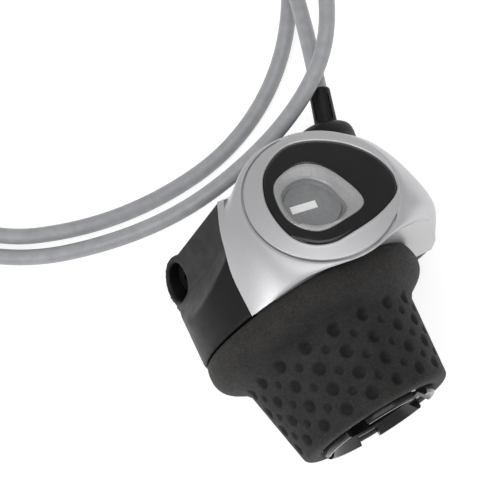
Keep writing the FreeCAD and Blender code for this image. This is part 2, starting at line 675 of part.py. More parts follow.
def make_adjuster_spring():
    """Wave washer stack behind the barrel that holds its setting."""
    backs = [BARREL_END + 0.3 + 0.7 * k for k in range(3)]
    rings = [on_outlet([(a, 1.6), (a + 0.5, 1.6), (a + 0.5, 2.8), (a, 2.8)]) for a in backs]
    return Part.makeCompound(rings)


def make_retaining_ring():
    """Split ring in the journal's groove."""
    ring = tube(RING_X, RING_X + RING_T, RING_IN_R, 14.1)
    return ring.cut(Part.makeBox(3.0, 4.0, 6.0, Vector(RING_X - 1, -2.0, 10.0)))


def make_detent_spring():
    """Leaf spring under the drum's rim, its bump at the notch."""
    leaf = Part.makeBox(3.0, 12.0, 0.5, Vector(15.0, -6.0, RIM_R + 0.45))
    bump = Part.makeCylinder(0.6, 3.0, Vector(15.0, 0, RIM_R + 0.75), X_AXIS)
    foot = Part.makeBox(3.0, 2.0, 6.6, Vector(15.0, -8.0, RIM_R + 0.45))
    body = leaf.fuse([bump, foot])
    body.rotate(ZERO, X_AXIS, DETENT_DEG - 90)
    return body.common(envelope(HOUSING_X + WALL, SEAM_X - WALL, WALL))


def make_cover_screws():
    """Two pan-head screws up through the housing's posts into the cover's."""
    screws = []
    for x, y in POSTS:
        shank = Part.makeCylinder(POST_SCREW_R, 14.0, Vector(x, y, POST_SEAT_Z))
        low = Vector(x, y, POST_SEAT_Z - POST_HEAD_H)
        head = Part.makeCylinder(POST_HEAD_R, POST_HEAD_H, low)
        slot = Part.makeBox(4.4, 0.5, 0.9, low - Vector(2.2, 0.25, 0.1))
        cross = Part.makeBox(0.5, 4.4, 0.9, low - Vector(0.25, 2.2, 0.1))
        screws.append(shank.fuse(head).cut(slot).cut(cross))
    return Part.makeCompound(screws)


# Outer cable: two loops and a neat coil. Points are (angle, radius, height) round the loops' centre.
LOOP_CENTRE = Vector(-88.0, -14.0, 0)
LIE_Z = FLOOR_Z + CASING_R + 0.1
FIRST_RUN = 11.8
CORNER_SHARE = 0.45
ROUTE = [
    (58, 63.7, -20.6), (79, 60.6, -21.6), (102, 59.5, -24.6), (126, 59, LIE_Z), (150, 59, LIE_Z),
    (174, 59, LIE_Z), (198, 59, LIE_Z), (222, 59, LIE_Z), (246, 59.2, LIE_Z), (270, 60, LIE_Z),
    (294, 61.8, LIE_Z), (317, 63.2, LIE_Z), (338, 60.6, LIE_Z), (358, 60.4, LIE_Z), (378, 62.4, LIE_Z),
    (398, 63.2, LIE_Z), (418, 62.9, LIE_Z), (440, 64, LIE_Z), (463, 64.5, LIE_Z), (486, 64.5, LIE_Z),
    (509, 64.5, LIE_Z), (532, 64.5, LIE_Z), (555, 64.5, LIE_Z), (578, 64.5, LIE_Z), (601, 64.8, LIE_Z),
    (624, 65.4, LIE_Z), (646, 66.6, LIE_Z), (667, 68.3, LIE_Z), (685, 67.4, LIE_Z), (703, 66.0, -24.0),
    (720, 68.0, -18.8), (735, 70.6, -13.4), (749, 73.8, -9.9), (761, 75.3, -9.4), (772, 73.6, -11.6),
    (784, 70.6, -15.0), (799, 68.6, -19.2), (815, 66.4, -20.9), (831, 63.6, -19.6), (845, 58.6, -15.4),
    (856.5, 52.6, -11.0),
]
COIL_CENTRE = Vector(-112.0, 2.0, 0)
COIL_R = 24.0
COIL_PITCH = 4.15
COIL_TURNS = 4
COIL_H = COIL_PITCH * COIL_TURNS + 2 * CASING_R + 0.4
TIE_DEG = (40.0, 280.0)
TIE_T = 0.8
COIL_ENTRY_DEG = 163.0
COIL_EXIT_DEG = 180.0
TAIL_END = Vector(-136.0, -36.0, -22.2)
FERRULE_L = 10.0
WIRE_OUT = 9.0


def round_centre(centre, degrees, radius, z):
    a = math.radians(degrees)
    return centre + Vector(radius * math.cos(a), radius * math.sin(a), z)


def tube_path(points):
    """Straight runs joined by tangent arcs; prints the arcs' radii and returns the wire."""
    edges, radii = [], []
    last = points[0]
    for a, b, c in zip(points, points[1:], points[2:]):
        back, on = (a - b), (c - b)
        turn = math.pi - back.getAngle(on)
        shorter = min(back.Length, on.Length)
        reach = CORNER_SHARE * shorter
        radius = reach / math.tan(turn / 2)
        start, end = b + back.normalize() * reach, b + on.normalize() * reach
        chord = (start + end) * 0.5
        inward = (chord - b).normalize()
        middle = b + inward * (radius / math.cos(turn / 2) - radius)
        edges += [Part.LineSegment(last, start).toShape(), Part.Arc(start, middle, end).toShape()]
        radii.append(radius)
        last = end
    edges.append(Part.LineSegment(last, points[-1]).toShape())
    wire = Part.Wire(edges)
    print("cord arc radii from", round(min(radii), 1), "to", round(max(radii), 1))
    print("cord length", round(wire.Length, 1))
    return wire


def make_cable_housing():
    """The outer cable from the adjuster to the coil."""
    points = [outlet_point(CASING_SEAT - 0.05), outlet_point(-FIRST_RUN)]
    points += [round_centre(LOOP_CENTRE, *p) for p in ROUTE]
    top = LIE_Z + COIL_PITCH * COIL_TURNS
    points.append(round_centre(COIL_CENTRE, COIL_ENTRY_DEG, COIL_R, top))
    runs = [(b - a).Length for a, b in zip(points, points[1:])]
    print("runs from", round(min(runs), 1), "to", round(max(runs), 1))
    wire = tube_path(points)
    body = swept(wire, CASING_R)
    expected = math.pi * CASING_R ** 2 * wire.Length
    print("cord volume over section x length", round(body.Volume / expected, 4))
    return body


def make_coil():
    """Closed ring of the neat coil's outer shape."""
    low = COIL_CENTRE + Vector(0, 0, FLOOR_Z)
    ring = Part.makeCylinder(COIL_R + CASING_R + 0.1, COIL_H, low)
    return ring.cut(Part.makeCylinder(COIL_R - CASING_R - 0.1, COIL_H + 2, low - Vector(0, 0, 1)))


def tail_points():
    """Start of the tail beside the coil and its direction."""
    start = round_centre(COIL_CENTRE, COIL_EXIT_DEG, COIL_R, LIE_Z)
    along = (TAIL_END - start).normalize()
    return start, along


def make_tail():
    """Straight last stretch of the outer cable, hollow where the wire slides."""
    start, along = tail_points()
    clear = start + along * 0.2
    return rod(clear, TAIL_END, CASING_R).cut(rod(start + along * 10.5, TAIL_END + along, WIRE_R + 0.3))


def make_ferrule():
    _, along = tail_points()
    low, high = TAIL_END - along * (FERRULE_L - 2), TAIL_END + along * 2
    body = rod(low, high, 2.5).cut(rod(low - along, TAIL_END, CASING_R))
    return body.cut(rod(low, high + along, WIRE_R + 0.3))


def make_wire_end():
    """Sliding end of the inner wire with its crimped cap."""
    start, along = tail_points()
    inner = start + along * 11.5
    cap_low = TAIL_END + along * (2 + WIRE_OUT - 6)
    return rod(inner, cap_low + along * 2, WIRE_R).fuse(rod(cap_low, cap_low + along * 6, 1.1))


def make_coil_ties():
    """Two flat ties round the coil's bundle."""
    ties = []
    wide = 2 * CASING_R + 0.3
    near = COIL_R - wide / 2
    for degrees in TIE_DEG:
        frame = Part.makeBox(wide + 2 * TIE_T, 3.0, COIL_H + 0.7, Vector(near - TIE_T, -1.5, FLOOR_Z + 0.02))
        hole = Part.makeBox(wide, 4.0, COIL_H + 0.02, Vector(near, -2.0, FLOOR_Z - 0.01))
        tie = frame.cut(hole)
        tie.rotate(ZERO, Z_AXIS, degrees)
        tie.translate(COIL_CENTRE)
        ties.append(tie)
    return Part.makeCompound(ties)


def main():
    outer, inner = make_shells()
    guide, guide_wire = make_cable_guide(), make_guide_wire()
    save("lower_housing", make_lower_housing(outer, inner, guide))
    save("housing_cover", make_cover(outer, inner))
    save("clamp_screw", make_clamp_screw())
    save("clamp_nut", make_clamp_nut())
    save("cover_screws", make_cover_screws())
    save("bezel_ring", make_bezel())
    save("display_panel", make_panel())
    save("window_ring", make_window_ring())
    save("window_lens", make_lens())
    save("dial_cup", make_dial_cup())
    save("indicator_dial", make_dial())
    save("indicator_pointer", make_pointer())
    save("indicator_base", make_indicator_base())
    save("idler_gear", make_idler())
    save("gear_pins", make_gear_pins())
    save("twist_sleeve", make_sleeve())
    save("rubber_grip", make_rubber_grip())
    save("cable_drum", make_drum())
    save("wire_nipple", make_nipple())
    save("drum_wire", make_drum_wire())
    save("detent_spring", make_detent_spring())
    save("thrust_washer", tube(WASHER_X, WASHER_X + WASHER_T, JOURNAL_R + 0.05, 15.8))
    save("retaining_ring", make_retaining_ring())
    save("cable_guide", guide)
    save("guide_wire", guide_wire)
    save("outlet_boot", make_boot())
    save("adjuster_barrel", make_adjuster())
    save("adjuster_spring", make_adjuster_spring())
    save("cable_housing", make_cable_housing())
    save("cable_coil", make_coil())
    save("cable_tail", make_tail())
    save("coil_ties", make_coil_ties())
    save("end_ferrule", make_ferrule())
    save("wire_end", make_wire_end())


main()
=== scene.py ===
import math

import bmesh
import bpy
from mathutils import Matrix, Vector
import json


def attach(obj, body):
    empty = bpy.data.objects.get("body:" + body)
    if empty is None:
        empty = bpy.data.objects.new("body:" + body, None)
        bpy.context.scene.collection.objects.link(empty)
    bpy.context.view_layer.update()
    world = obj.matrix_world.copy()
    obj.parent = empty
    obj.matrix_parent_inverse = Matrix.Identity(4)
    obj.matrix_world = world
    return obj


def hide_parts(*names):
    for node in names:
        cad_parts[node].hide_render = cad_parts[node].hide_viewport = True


# Twist-grip gear shifter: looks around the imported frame.
# Lengths below are millimetres until MM turns them to metres.
MM = 0.001
FLOOR_Z = -27.6
SEAM_X = 20.0

DISPLAY_CENTRE = Vector((4.35, 15.8, 21.0))
DISPLAY_N = Vector((-0.256, 0.290, 0.922)).normalized()
DISPLAY_SIDE = DISPLAY_N.cross(Vector((0.518, 0.846, -0.122))).normalized()
DISPLAY_U = DISPLAY_SIDE.cross(DISPLAY_N)

OUTLET_DIR = Vector((-0.936, 0.352, 0.0)).normalized()
OUTLET_TIP = Vector((-27.0, 31.0, -15.5))

LENS_MM = 148.3
SENSOR_MM = 36.0
CAMERA_PLACE = Vector((111.18, -4.16, 466.64))
CAMERA_BACK = Vector((0.22935, 0.0, 0.97334)).normalized()
CAMERA_UP = Vector((-0.8239, 0.5325, 0.1942))

# Lights in metres and watts: name, place, size, power.
WORLD_STRENGTH = 0.42
LIGHTS = [
    ("key", (0.15, -0.85, 0.85), 0.7, 6.0),
    ("top", (-0.15, 0.35, 1.2), 0.9, 4.5),
    ("fill", (0.9, 0.3, 0.7), 0.6, 1.5),
]
FLOOR_HALF_M = 3.0


# ---------------------------------------------------------------- frame, camera, light

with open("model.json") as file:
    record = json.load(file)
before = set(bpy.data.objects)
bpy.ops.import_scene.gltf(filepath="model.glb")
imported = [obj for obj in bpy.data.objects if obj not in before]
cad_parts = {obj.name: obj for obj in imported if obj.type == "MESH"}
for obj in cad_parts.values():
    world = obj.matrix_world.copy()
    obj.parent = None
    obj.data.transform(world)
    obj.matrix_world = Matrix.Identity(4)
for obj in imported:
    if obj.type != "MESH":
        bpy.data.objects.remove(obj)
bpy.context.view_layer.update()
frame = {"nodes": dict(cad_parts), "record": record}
nodes = frame["nodes"]


def add_camera():
    """Looks down on the display, with the bar running down to the right."""
    data = bpy.data.cameras.new("camera")
    data.lens = LENS_MM
    data.sensor_width = SENSOR_MM
    data.clip_start = 0.02
    camera = bpy.data.objects.new("camera", data)
    up = (CAMERA_UP - CAMERA_BACK * CAMERA_UP.dot(CAMERA_BACK)).normalized()
    right = up.cross(CAMERA_BACK)
    turn = Matrix((right, up, CAMERA_BACK)).transposed().to_4x4()
    camera.matrix_world = Matrix.Translation(CAMERA_PLACE * MM) @ turn
    bpy.context.scene.collection.objects.link(camera)
    bpy.context.scene.camera = camera


def add_area(name, place, size, watts):
    """A soft square light that faces the origin."""
    data = bpy.data.lights.new(name, "AREA")
    data.size = size
    data.energy = watts
    light = bpy.data.objects.new(name, data)
    light.location = place
    light.rotation_euler = (-Vector(place)).to_track_quat("-Z", "Y").to_euler()
    bpy.context.scene.collection.objects.link(light)


def add_lights():
    world = bpy.data.worlds.new("studio")
    world.use_nodes = True
    background = world.node_tree.nodes["Background"]
    background.inputs["Color"].default_value = (1.0, 1.0, 1.0, 1.0)
    background.inputs["Strength"].default_value = WORLD_STRENGTH
    bpy.context.scene.world = world
    for light in LIGHTS:
        add_area(*light)


# ---------------------------------------------------------------- materials


class Finish:
    """One procedural material, built up from object coordinates."""

    def __init__(self, name):
        self.material = bpy.data.materials.new(name)
        self.material.use_nodes = True
        self.tree = self.material.node_tree
        self.shader = self.tree.nodes["Principled BSDF"]
        self.place = self.tree.nodes.new("ShaderNodeTexCoord").outputs["Object"]

    def noise(self, size_mm, detail=3.0, distortion=0.0):
        node = self.tree.nodes.new("ShaderNodeTexNoise")
        node.inputs["Scale"].default_value = 1.0 / (size_mm * MM)
        node.inputs["Detail"].default_value = detail
        node.inputs["Distortion"].default_value = distortion
        self.tree.links.new(self.place, node.inputs["Vector"])
        return node.outputs["Fac"]

    def painted(self, name):
        """A share from 0 to 1 that the mesh carries at each point."""
        node = self.tree.nodes.new("ShaderNodeAttribute")
        node.attribute_name = name
        return node.outputs["Fac"]

    def spread(self, source, low, high, from_low=0.3, from_high=0.7):
        """Maps a noise to the range low to high."""
        node = self.tree.nodes.new("ShaderNodeMapRange")
        node.inputs["From Min"].default_value = from_low
        node.inputs["From Max"].default_value = from_high
        node.inputs["To Min"].default_value = low
        node.inputs["To Max"].default_value = high
        self.tree.links.new(source, node.inputs["Value"])
        return node.outputs["Result"]

    def mix(self, share, first, second):
        """Mixes two colours, each a colour or another mix's output."""
        node = self.tree.nodes.new("ShaderNodeMix")
        node.data_type = "RGBA"
        self.tree.links.new(share, node.inputs["Factor"])
        for socket, value in ((node.inputs[6], first), (node.inputs[7], second)):
            if isinstance(value, tuple):
                socket.default_value = (*value, 1.0)
            else:
                self.tree.links.new(value, socket)
        return node.outputs[2]

    def colour(self, output):
        self.tree.links.new(output, self.shader.inputs["Base Color"])

    def rough(self, low, high, size_mm):
        self.tree.links.new(self.spread(self.noise(size_mm), low, high), self.shader.inputs["Roughness"])

    def bump(self, size_mm, depth_mm, detail=2.0, strength=1.0):
        """Grain of that size and depth; a second call adds to the first."""
        node = self.tree.nodes.new("ShaderNodeBump")
        node.inputs["Strength"].default_value = strength
        node.inputs["Distance"].default_value = depth_mm * MM
        self.tree.links.new(self.noise(size_mm, detail), node.inputs["Height"])
        normal = self.shader.inputs["Normal"]
        if normal.is_linked:
            self.tree.links.new(normal.links[0].from_socket, node.inputs["Normal"])
        self.tree.links.new(node.outputs["Normal"], normal)

    def set(self, **values):
        for name, value in values.items():
            self.shader.inputs[name.replace("_", " ")].default_value = value
        return self


def two_tone(finish, patch_mm, dark, light):
    finish.colour(finish.mix(finish.spread(finish.noise(patch_mm), 0.0, 1.0), dark, light))


def make_materials():
    made = {}

    black = Finish("housing_black")
    two_tone(black, 5.0, (0.005, 0.005, 0.0052), (0.008, 0.008, 0.0082))
    black.rough(0.42, 0.55, 3.0)
    black.bump(0.12, 0.01)
    black.set(Specular_IOR_Level=0.22)
    made["black_plastic"] = black.material

    silver = Finish("cover_silver")
    two_tone(silver, 0.14, (0.50, 0.50, 0.515), (0.60, 0.60, 0.61))
    silver.rough(0.36, 0.44, 0.3)
    silver.bump(0.12, 0.006)
    silver.set(Metallic=0.6)
    made["silver_cover"] = silver.material

    trim = Finish("trim_silver")
    two_tone(trim, 0.5, (0.34, 0.34, 0.345), (0.42, 0.42, 0.425))
    trim.rough(0.3, 0.4, 0.4)
    trim.bump(0.3, 0.004)
    trim.set(Metallic=0.25)
    made["silver_trim"] = trim.material

    gloss = Finish("panel_gloss")
    two_tone(gloss, 4.0, (0.004, 0.004, 0.0045), (0.007, 0.007, 0.0075))
    gloss.rough(0.05, 0.09, 2.0)
    gloss.bump(2.5, 0.01)
    made["gloss_black"] = gloss.material

    screw = Finish("screw_black")
    two_tone(screw, 0.5, (0.010, 0.010, 0.011), (0.03, 0.03, 0.032))
    screw.rough(0.3, 0.5, 0.4)
    screw.bump(0.2, 0.01)
    screw.set(Metallic=0.6)
    made["black_screw"] = screw.material

    steel = Finish("steel")
    two_tone(steel, 0.5, (0.40, 0.40, 0.41), (0.56, 0.56, 0.57))
    steel.rough(0.25, 0.4, 0.5)
    steel.bump(0.2, 0.006)
    steel.set(Metallic=1.0)
    made["steel"] = steel.material

    lens = Finish("lens_clear")
    lens.colour(lens.mix(lens.spread(lens.noise(6.0), 0.0, 1.0), (0.90, 0.91, 0.93), (0.96, 0.96, 0.97)))
    lens.rough(0.03, 0.06, 2.0)
    lens.bump(3.0, 0.01)
    lens.set(Metallic=1.0, Alpha=0.09)
    made["lens"] = lens.material

    dial = Finish("dial_grey")
    two_tone(dial, 1.0, (0.20, 0.203, 0.21), (0.25, 0.253, 0.26))
    dial.rough(0.35, 0.5, 1.0)
    dial.bump(0.1, 0.004)
    made["dial_grey"] = dial.material

    white = Finish("pointer_white_painted_glow")
    two_tone(white, 0.5, (0.86, 0.86, 0.85), (0.94, 0.94, 0.93))
    white.rough(0.4, 0.5, 0.5)
    white.bump(0.2, 0.005)
    # Painted glow: the white pointer gives off a little light of its own, though it is no lamp, so it looks
    # brighter in its recess.
    white.set(Emission_Color=(1.0, 1.0, 1.0, 1.0), Emission_Strength=0.15)
    made["dial_white"] = white.material

    acetal = Finish("gear_acetal")
    two_tone(acetal, 2.0, (0.78, 0.76, 0.70), (0.86, 0.85, 0.81))
    acetal.rough(0.3, 0.42, 1.0)
    acetal.bump(0.3, 0.006)
    acetal.set(Subsurface_Weight=0.1)
    made["gear_plastic"] = acetal.material

    rubber = Finish("grip_rubber")
    patches = rubber.spread(rubber.noise(4.0), 0.0, 1.0)
    base = rubber.mix(patches, (0.010, 0.010, 0.0105), (0.019, 0.0185, 0.0185))
    dust = rubber.spread(rubber.noise(0.28, 4.0), 0.0, 0.5, 0.56, 0.74)
    base = rubber.mix(dust, base, (0.085, 0.076, 0.064))
    scuffs = rubber.spread(rubber.noise(0.5, 5.0), 0.0, 0.5, 0.4, 0.75)
    wear = rubber.mix(scuffs, base, (0.045, 0.038, 0.031))
    base = rubber.mix(rubber.painted("wear"), base, wear)
    # Painted shade: the rubber darkens to near black in the dimples, the deeper the darker.
    rubber.colour(rubber.mix(rubber.painted("dimple_shade"), base, (0.0025, 0.0025, 0.0028)))
    rubber.rough(0.62, 0.8, 0.8)
    rubber.bump(0.22, 0.05, 3.0)
    rubber.set(Specular_IOR_Level=0.3)
    made["rubber"] = rubber.material

    sleeve = Finish("sleeve_gloss")
    two_tone(sleeve, 3.0, (0.008, 0.008, 0.009), (0.014, 0.014, 0.015))
    sleeve.rough(0.15, 0.26, 1.5)
    sleeve.bump(0.5, 0.01)
    made["sleeve_black"] = sleeve.material

    cable = Finish("cable_grey")
    two_tone(cable, 2.5, (0.31, 0.315, 0.33), (0.37, 0.375, 0.39))
    cable.rough(0.34, 0.46, 1.5)
    cable.bump(0.5, 0.012)
    made["cable_grey"] = cable.material

    tie = Finish("tie_black")
    two_tone(tie, 1.0, (0.015, 0.015, 0.016), (0.025, 0.025, 0.026))
    tie.rough(0.4, 0.55, 0.8)
    tie.bump(0.2, 0.01)
    made["tie_black"] = tie.material
    return made


def paint(piece, slot):
    """Gives a new piece the material of a record slot."""
    piece.data.materials.clear()
    piece.data.materials.append(materials[slot])
    return piece


def paint_cad_nodes():
    """Every CAD node takes the finish of its own slot."""
    slot_of = {part["node"]: part["material_slot"] for part in frame["record"]["subparts"]}
    for name, node in nodes.items():
        for material_slot in node.material_slots:
            material_slot.material = materials[slot_of[name]]


# ---------------------------------------------------------------- cable

# Route of the outer cable: (angle, radius, height) round the loops' centre. It lies at LIE_Z where nothing
# lifts it.
CABLE_R = 2.0
CABLE_INTO_BARREL = 5.95
CABLE_OUT_OF_TIP = 11.8
LOOP_CENTRE = Vector((-88.0, -14.0, 0.0))
LIE_Z = FLOOR_Z + 2.1
ROUTE = [
    (58, 63.7, -20.6), (79, 60.6, -21.6), (102, 59.5, -24.6), (126, 59, LIE_Z), (150, 59, LIE_Z),
    (174, 59, LIE_Z), (198, 59, LIE_Z), (222, 59, LIE_Z), (246, 59.2, LIE_Z), (270, 60, LIE_Z),
    (294, 61.8, LIE_Z), (317, 63.2, LIE_Z), (338, 60.6, LIE_Z), (358, 60.4, LIE_Z), (378, 62.4, LIE_Z),
    (398, 63.2, LIE_Z), (418, 62.9, LIE_Z),
    (440, 64, LIE_Z), (463, 64.5, LIE_Z), (486, 64.5, LIE_Z), (509, 64.5, LIE_Z), (532, 64.5, LIE_Z),
    (555, 64.5, LIE_Z), (578, 64.5, LIE_Z), (601, 64.8, LIE_Z), (624, 65.4, LIE_Z), (646, 66.6, LIE_Z),
    (667, 68.3, LIE_Z), (685, 67.4, LIE_Z), (703, 66.0, -24.0), (720, 68.0, -18.8), (735, 70.6, -13.4),
    (749, 73.8, -9.9), (761, 75.3, -9.4), (772, 73.6, -11.6), (784, 70.6, -15.0), (799, 68.6, -19.2),
    (815, 66.4, -20.9), (831, 63.6, -19.6), (845, 58.6, -15.4), (856.5, 52.6, -11.0),
]
COIL_CENTRE = Vector((-112.0, 2.0, 0.0))
COIL_R = 24.0
COIL_PITCH = 4.15
COIL_TURNS = 4
COIL_ENTRY_DEG = 163.0
COIL_EXIT_DEG = 180.0
COIL_POINTS_PER_TURN = 15
TAIL_END = Vector((-136.0, -36.0, -22.2))


def round_centre(centre, degrees, radius, z):
    angle = math.radians(degrees)
    return centre + Vector((radius * math.cos(angle), radius * math.sin(angle), z))


def cable_points():
    """Out of the adjuster, round the two loops, down the coil and along the tail to the ferrule."""
    points = [OUTLET_TIP - OUTLET_DIR * CABLE_INTO_BARREL, OUTLET_TIP + OUTLET_DIR * CABLE_OUT_OF_TIP]
    points += [round_centre(LOOP_CENTRE, *stop) for stop in ROUTE]
    sweep = 360.0 * COIL_TURNS + COIL_EXIT_DEG - COIL_ENTRY_DEG
    steps = round(sweep / 360.0 * COIL_POINTS_PER_TURN)
    outward = COIL_R / math.cos(math.pi / COIL_POINTS_PER_TURN)
    top = LIE_Z + COIL_PITCH * COIL_TURNS
    for k in range(steps + 1):
        share = k / steps
        height = top + (LIE_Z - top) * share
        points.append(round_centre(COIL_CENTRE, COIL_ENTRY_DEG + sweep * share, outward, height))
    points[-1] = round_centre(COIL_CENTRE, COIL_EXIT_DEG, COIL_R, LIE_Z)
    points.append(TAIL_END)
    return points


def add_cable():
    data = bpy.data.curves.new("outer_cable", "CURVE")
    data.dimensions = "3D"
    data.bevel_depth = CABLE_R * MM
    data.bevel_resolution = 7
    data.resolution_u = 10
    data.use_fill_caps = True
    spline = data.splines.new("NURBS")
    points = cable_points()
    spline.points.add(len(points) - 1)
    for target, point in zip(spline.points, points):
        target.co = (*(point * MM), 1.0)
    spline.order_u = 3
    spline.use_endpoint_u = True
    cable = bpy.data.objects.new("outer_cable", data)
    bpy.context.scene.collection.objects.link(cable)
    data.materials.append(materials["cable_grey"])
    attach(cable, "housing")
    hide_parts("cable_housing", "cable_coil", "cable_tail")


# ---------------------------------------------------------------- mesh helpers


def link_mesh(name, verts, faces, slot, body, *stands_for):
    """A smooth-shaded mesh piece from millimetre points, painted, riding on a body."""
    data = bpy.data.meshes.new(name)
    data.from_pydata([tuple(Vector(v) * MM) for v in verts], [], faces)
    shape = bmesh.new()
    shape.from_mesh(data)
    bmesh.ops.remove_doubles(shape, verts=shape.verts, dist=0.001 * MM)
    bmesh.ops.recalc_face_normals(shape, faces=shape.faces)
    shape.to_mesh(data)
    shape.free()
    data.shade_smooth()
    piece = bpy.data.objects.new(name, data)
    bpy.context.scene.collection.objects.link(piece)
    paint(piece, slot)
    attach(piece, body)
    if stands_for:
        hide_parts(*stands_for)
    return piece


def keep_creases(piece, degrees):
    """Shades edges sharper than the angle as creases."""
    bpy.context.view_layer.objects.active = piece
    piece.data.set_sharp_from_angle(angle=math.radians(degrees))


def strip_faces(rows, columns, wrap_rows=False):
    """Quads of a grid whose columns close on themselves."""
    faces = []
    for i in range(rows if wrap_rows else rows - 1):
        for j in range(columns):
            a, b = i * columns, (i + 1) % rows * columns
            k = (j + 1) % columns
            faces.append((a + j, a + k, b + k, b + j))
    return faces


def catmull(p0, p1, p2, p3, t):
    """A point of the smooth span from p1 to p2."""
    slope = (p2 - p0) * t
    bend = (2 * p0 - 5 * p1 + 4 * p2 - p3) * t * t
    twist = (3 * p1 - p0 - 3 * p2 + p3) * t ** 3
    return 0.5 * (2 * p1 + slope + bend + twist)


def flowing(points, per_span):
    """A smooth open line through points."""
    points = [Vector(p) for p in points]
    ends = [2 * points[0] - points[1]] + points + [2 * points[-1] - points[-2]]
    line = [catmull(*ends[i : i + 4], k / per_span) for i in range(len(points) - 1) for k in range(per_span)]
    return line + [points[-1]]


def loop_radii(points, centre, count):
    """Distances from centre to a smooth closed line through points, at count even angles."""
    points = [Vector((*p, 0.0)) for p in points]
    n, fine = len(points), 40
    polar = []
    for i in range(n):
        span = [points[(i + d) % n] for d in (-1, 0, 1, 2)]
        for k in range(fine):
            p = catmull(*span, k / fine)
            across, up = p.x - centre[0], p.y - centre[1]
            polar.append((math.atan2(up, across) % math.tau, math.hypot(across, up)))
    polar.sort()
    polar = [(polar[-1][0] - math.tau, polar[-1][1])] + polar + [(polar[0][0] + math.tau, polar[0][1])]
    radii, at = [], 0
    for k in range(count):
        angle = math.tau * k / count
        while polar[at + 1][0] < angle:
            at += 1
        (a0, r0), (a1, r1) = polar[at], polar[at + 1]
        radii.append(r0 + (r1 - r0) * (angle - a0) / max(a1 - a0, 1e-9))
    return radii


def turned_piece(
    name, profile, steps, slot, body, *stands_for, centre=Vector(), axis=Vector((1, 0, 0)), shift=None
):
    """A closed outline of (along, radius) turned about an axis; shift moves a point's radius inwards."""
    side = axis.cross(Vector((0, 0, 1))).normalized() * -1.0
    up = axis.cross(side)
    verts = []
    for along, radius in profile:
        for j in range(steps):
            angle = math.tau * j / steps
            r = radius - (shift(along, angle, radius) if shift else 0.0)
            verts.append(centre + axis * along + (side * math.cos(angle) + up * math.sin(angle)) * r)
    return link_mesh(name, verts, strip_faces(len(profile), steps, True), slot, body, *stands_for)


# ---------------------------------------------------------------- rubber grip

FLANGE = [
    (20.35, 26.6), (20.8, 27.0), (22.3, 27.4), (24.4, 27.5), (26.3, 26.9),
    (27.7, 25.7), (28.8, 24.1), (29.7, 22.7), (31.2, 21.6),
]
BARREL_START = (31.2, 21.6)
BARREL_STOP = (49.2, 19.1)
BARREL_STEPS = 72
GRIP_END = [
    (49.2, 19.1), (50.1, 18.85), (50.75, 18.1), (51.0, 17.1), (51.0, 15.9), (50.7, 15.05), (50.1, 14.55),
]
GRIP_STEPS = 540
FLANGE_TOP_R = 27.4
WORN_END_X = 50.6
WEAR_REACH = 2.2
GRIP_INSIDE = [(30.0, 14.55), (26.5, 20.05), (20.95, 20.05), (20.95, 24.7), (20.35, 24.7)]
DIMPLES_ROUND = 18
DIMPLE_PHASE_DEG = 4.0
BIG_ROWS = (31.6, 37.0, 42.3, 47.6)
SMALL_ROWS = (34.3, 39.7, 45.0)
BIG_DIMPLE = (1.55, 0.85)
SMALL_DIMPLE = (1.05, 0.6)


def dimple_depth(along, angle, radius):
    """How deep the dimples press in at a point of the barrel."""
    if along < BARREL_START[0] - 2.0 or along > BARREL_STOP[0]:
        return 0.0
    pitch = math.tau / DIMPLES_ROUND
    depth = 0.0
    for rows, (reach, deep), offset in ((BIG_ROWS, BIG_DIMPLE, 0.0), (SMALL_ROWS, SMALL_DIMPLE, 0.5)):
        turn = (angle - math.radians(DIMPLE_PHASE_DEG) - offset * pitch + pitch / 2) % pitch - pitch / 2
        for row in rows:
            away = math.hypot(along - row, radius * turn) / reach
            if away < 1.0:
                depth = max(depth, deep * (1.0 - away * away) ** 0.7)
    return depth


def grip_profile():
    start, stop = Vector(BARREL_START), Vector(BARREL_STOP)
    barrel = [start.lerp(stop, k / BARREL_STEPS) for k in range(1, BARREL_STEPS)]
    line = flowing(FLANGE, 8)[:-1] + [start] + barrel + flowing(GRIP_END, 5)
    return [tuple(p) for p in line] + GRIP_INSIDE


def add_grip():
    """The rubber grip; its mesh carries how far each point lies in a dimple, which the material turns into
    painted shade, and where the rubber is worn.
    """
    grip = turned_piece(
        "dimpled_grip", grip_profile(), GRIP_STEPS, "rubber", "grip", "rubber_grip", shift=dimple_depth
    )
    # The dimple share darkens the rubber as painted shade; the wear share lightens it as real wear.
    dimple_shade = grip.data.attributes.new("dimple_shade", "FLOAT", "POINT")
    wear = grip.data.attributes.new("wear", "FLOAT", "POINT")
    for k, vertex in enumerate(grip.data.vertices):
        along, y, z = vertex.co / MM
        radius = math.hypot(y, z)
        depth = dimple_depth(along, math.atan2(z, y), radius) / BIG_DIMPLE[1]
        dimple_shade.data[k].value = min(1.0, depth) ** 1.5
        on_flange = max(0.0, 1.0 - abs(radius - FLANGE_TOP_R) / WEAR_REACH)
        on_end = max(0.0, 1.0 - abs(along - WORN_END_X) / WEAR_REACH)
        wear.data[k].value = max(on_flange, on_end)


# ---------------------------------------------------------------- cover, bezel and display

# Outlines on the display, in its own (u, v), as chosen points.
PANEL_SHAPE = [
    (-12.8, 2.3), (-12.3, 6.2), (-10.2, 10.1), (-7.4, 12.7), (-4.0, 13.8), (0.4, 14.0),
    (5.9, 13.1), (11.3, 10.4), (14.9, 6.5), (16.2, 2.9), (15.2, -0.6), (11.3, -5.4),
    (5.9, -9.6), (2.0, -11.9), (-2.2, -12.4), (-6.3, -10.9), (-9.6, -7.3), (-12.0, -2.6),
]
WINDOW_SHAPE = [
    (-10.0, 1.8), (-7.3, 6.6), (-2.5, 8.4), (3.2, 5.6),
    (8.8, -1.2), (4.5, -6.2), (-1.2, -9.0), (-7.2, -6.0),
]
OPENING_SHAPE = [
    (-8.5, -0.2), (-7.1, 3.1), (-3.5, 4.8), (0.8, 3.4), (3.6, 0.4),
    (5.2, -2.5), (3.0, -5.7), (-1.6, -7.5), (-6.2, -5.3),
]
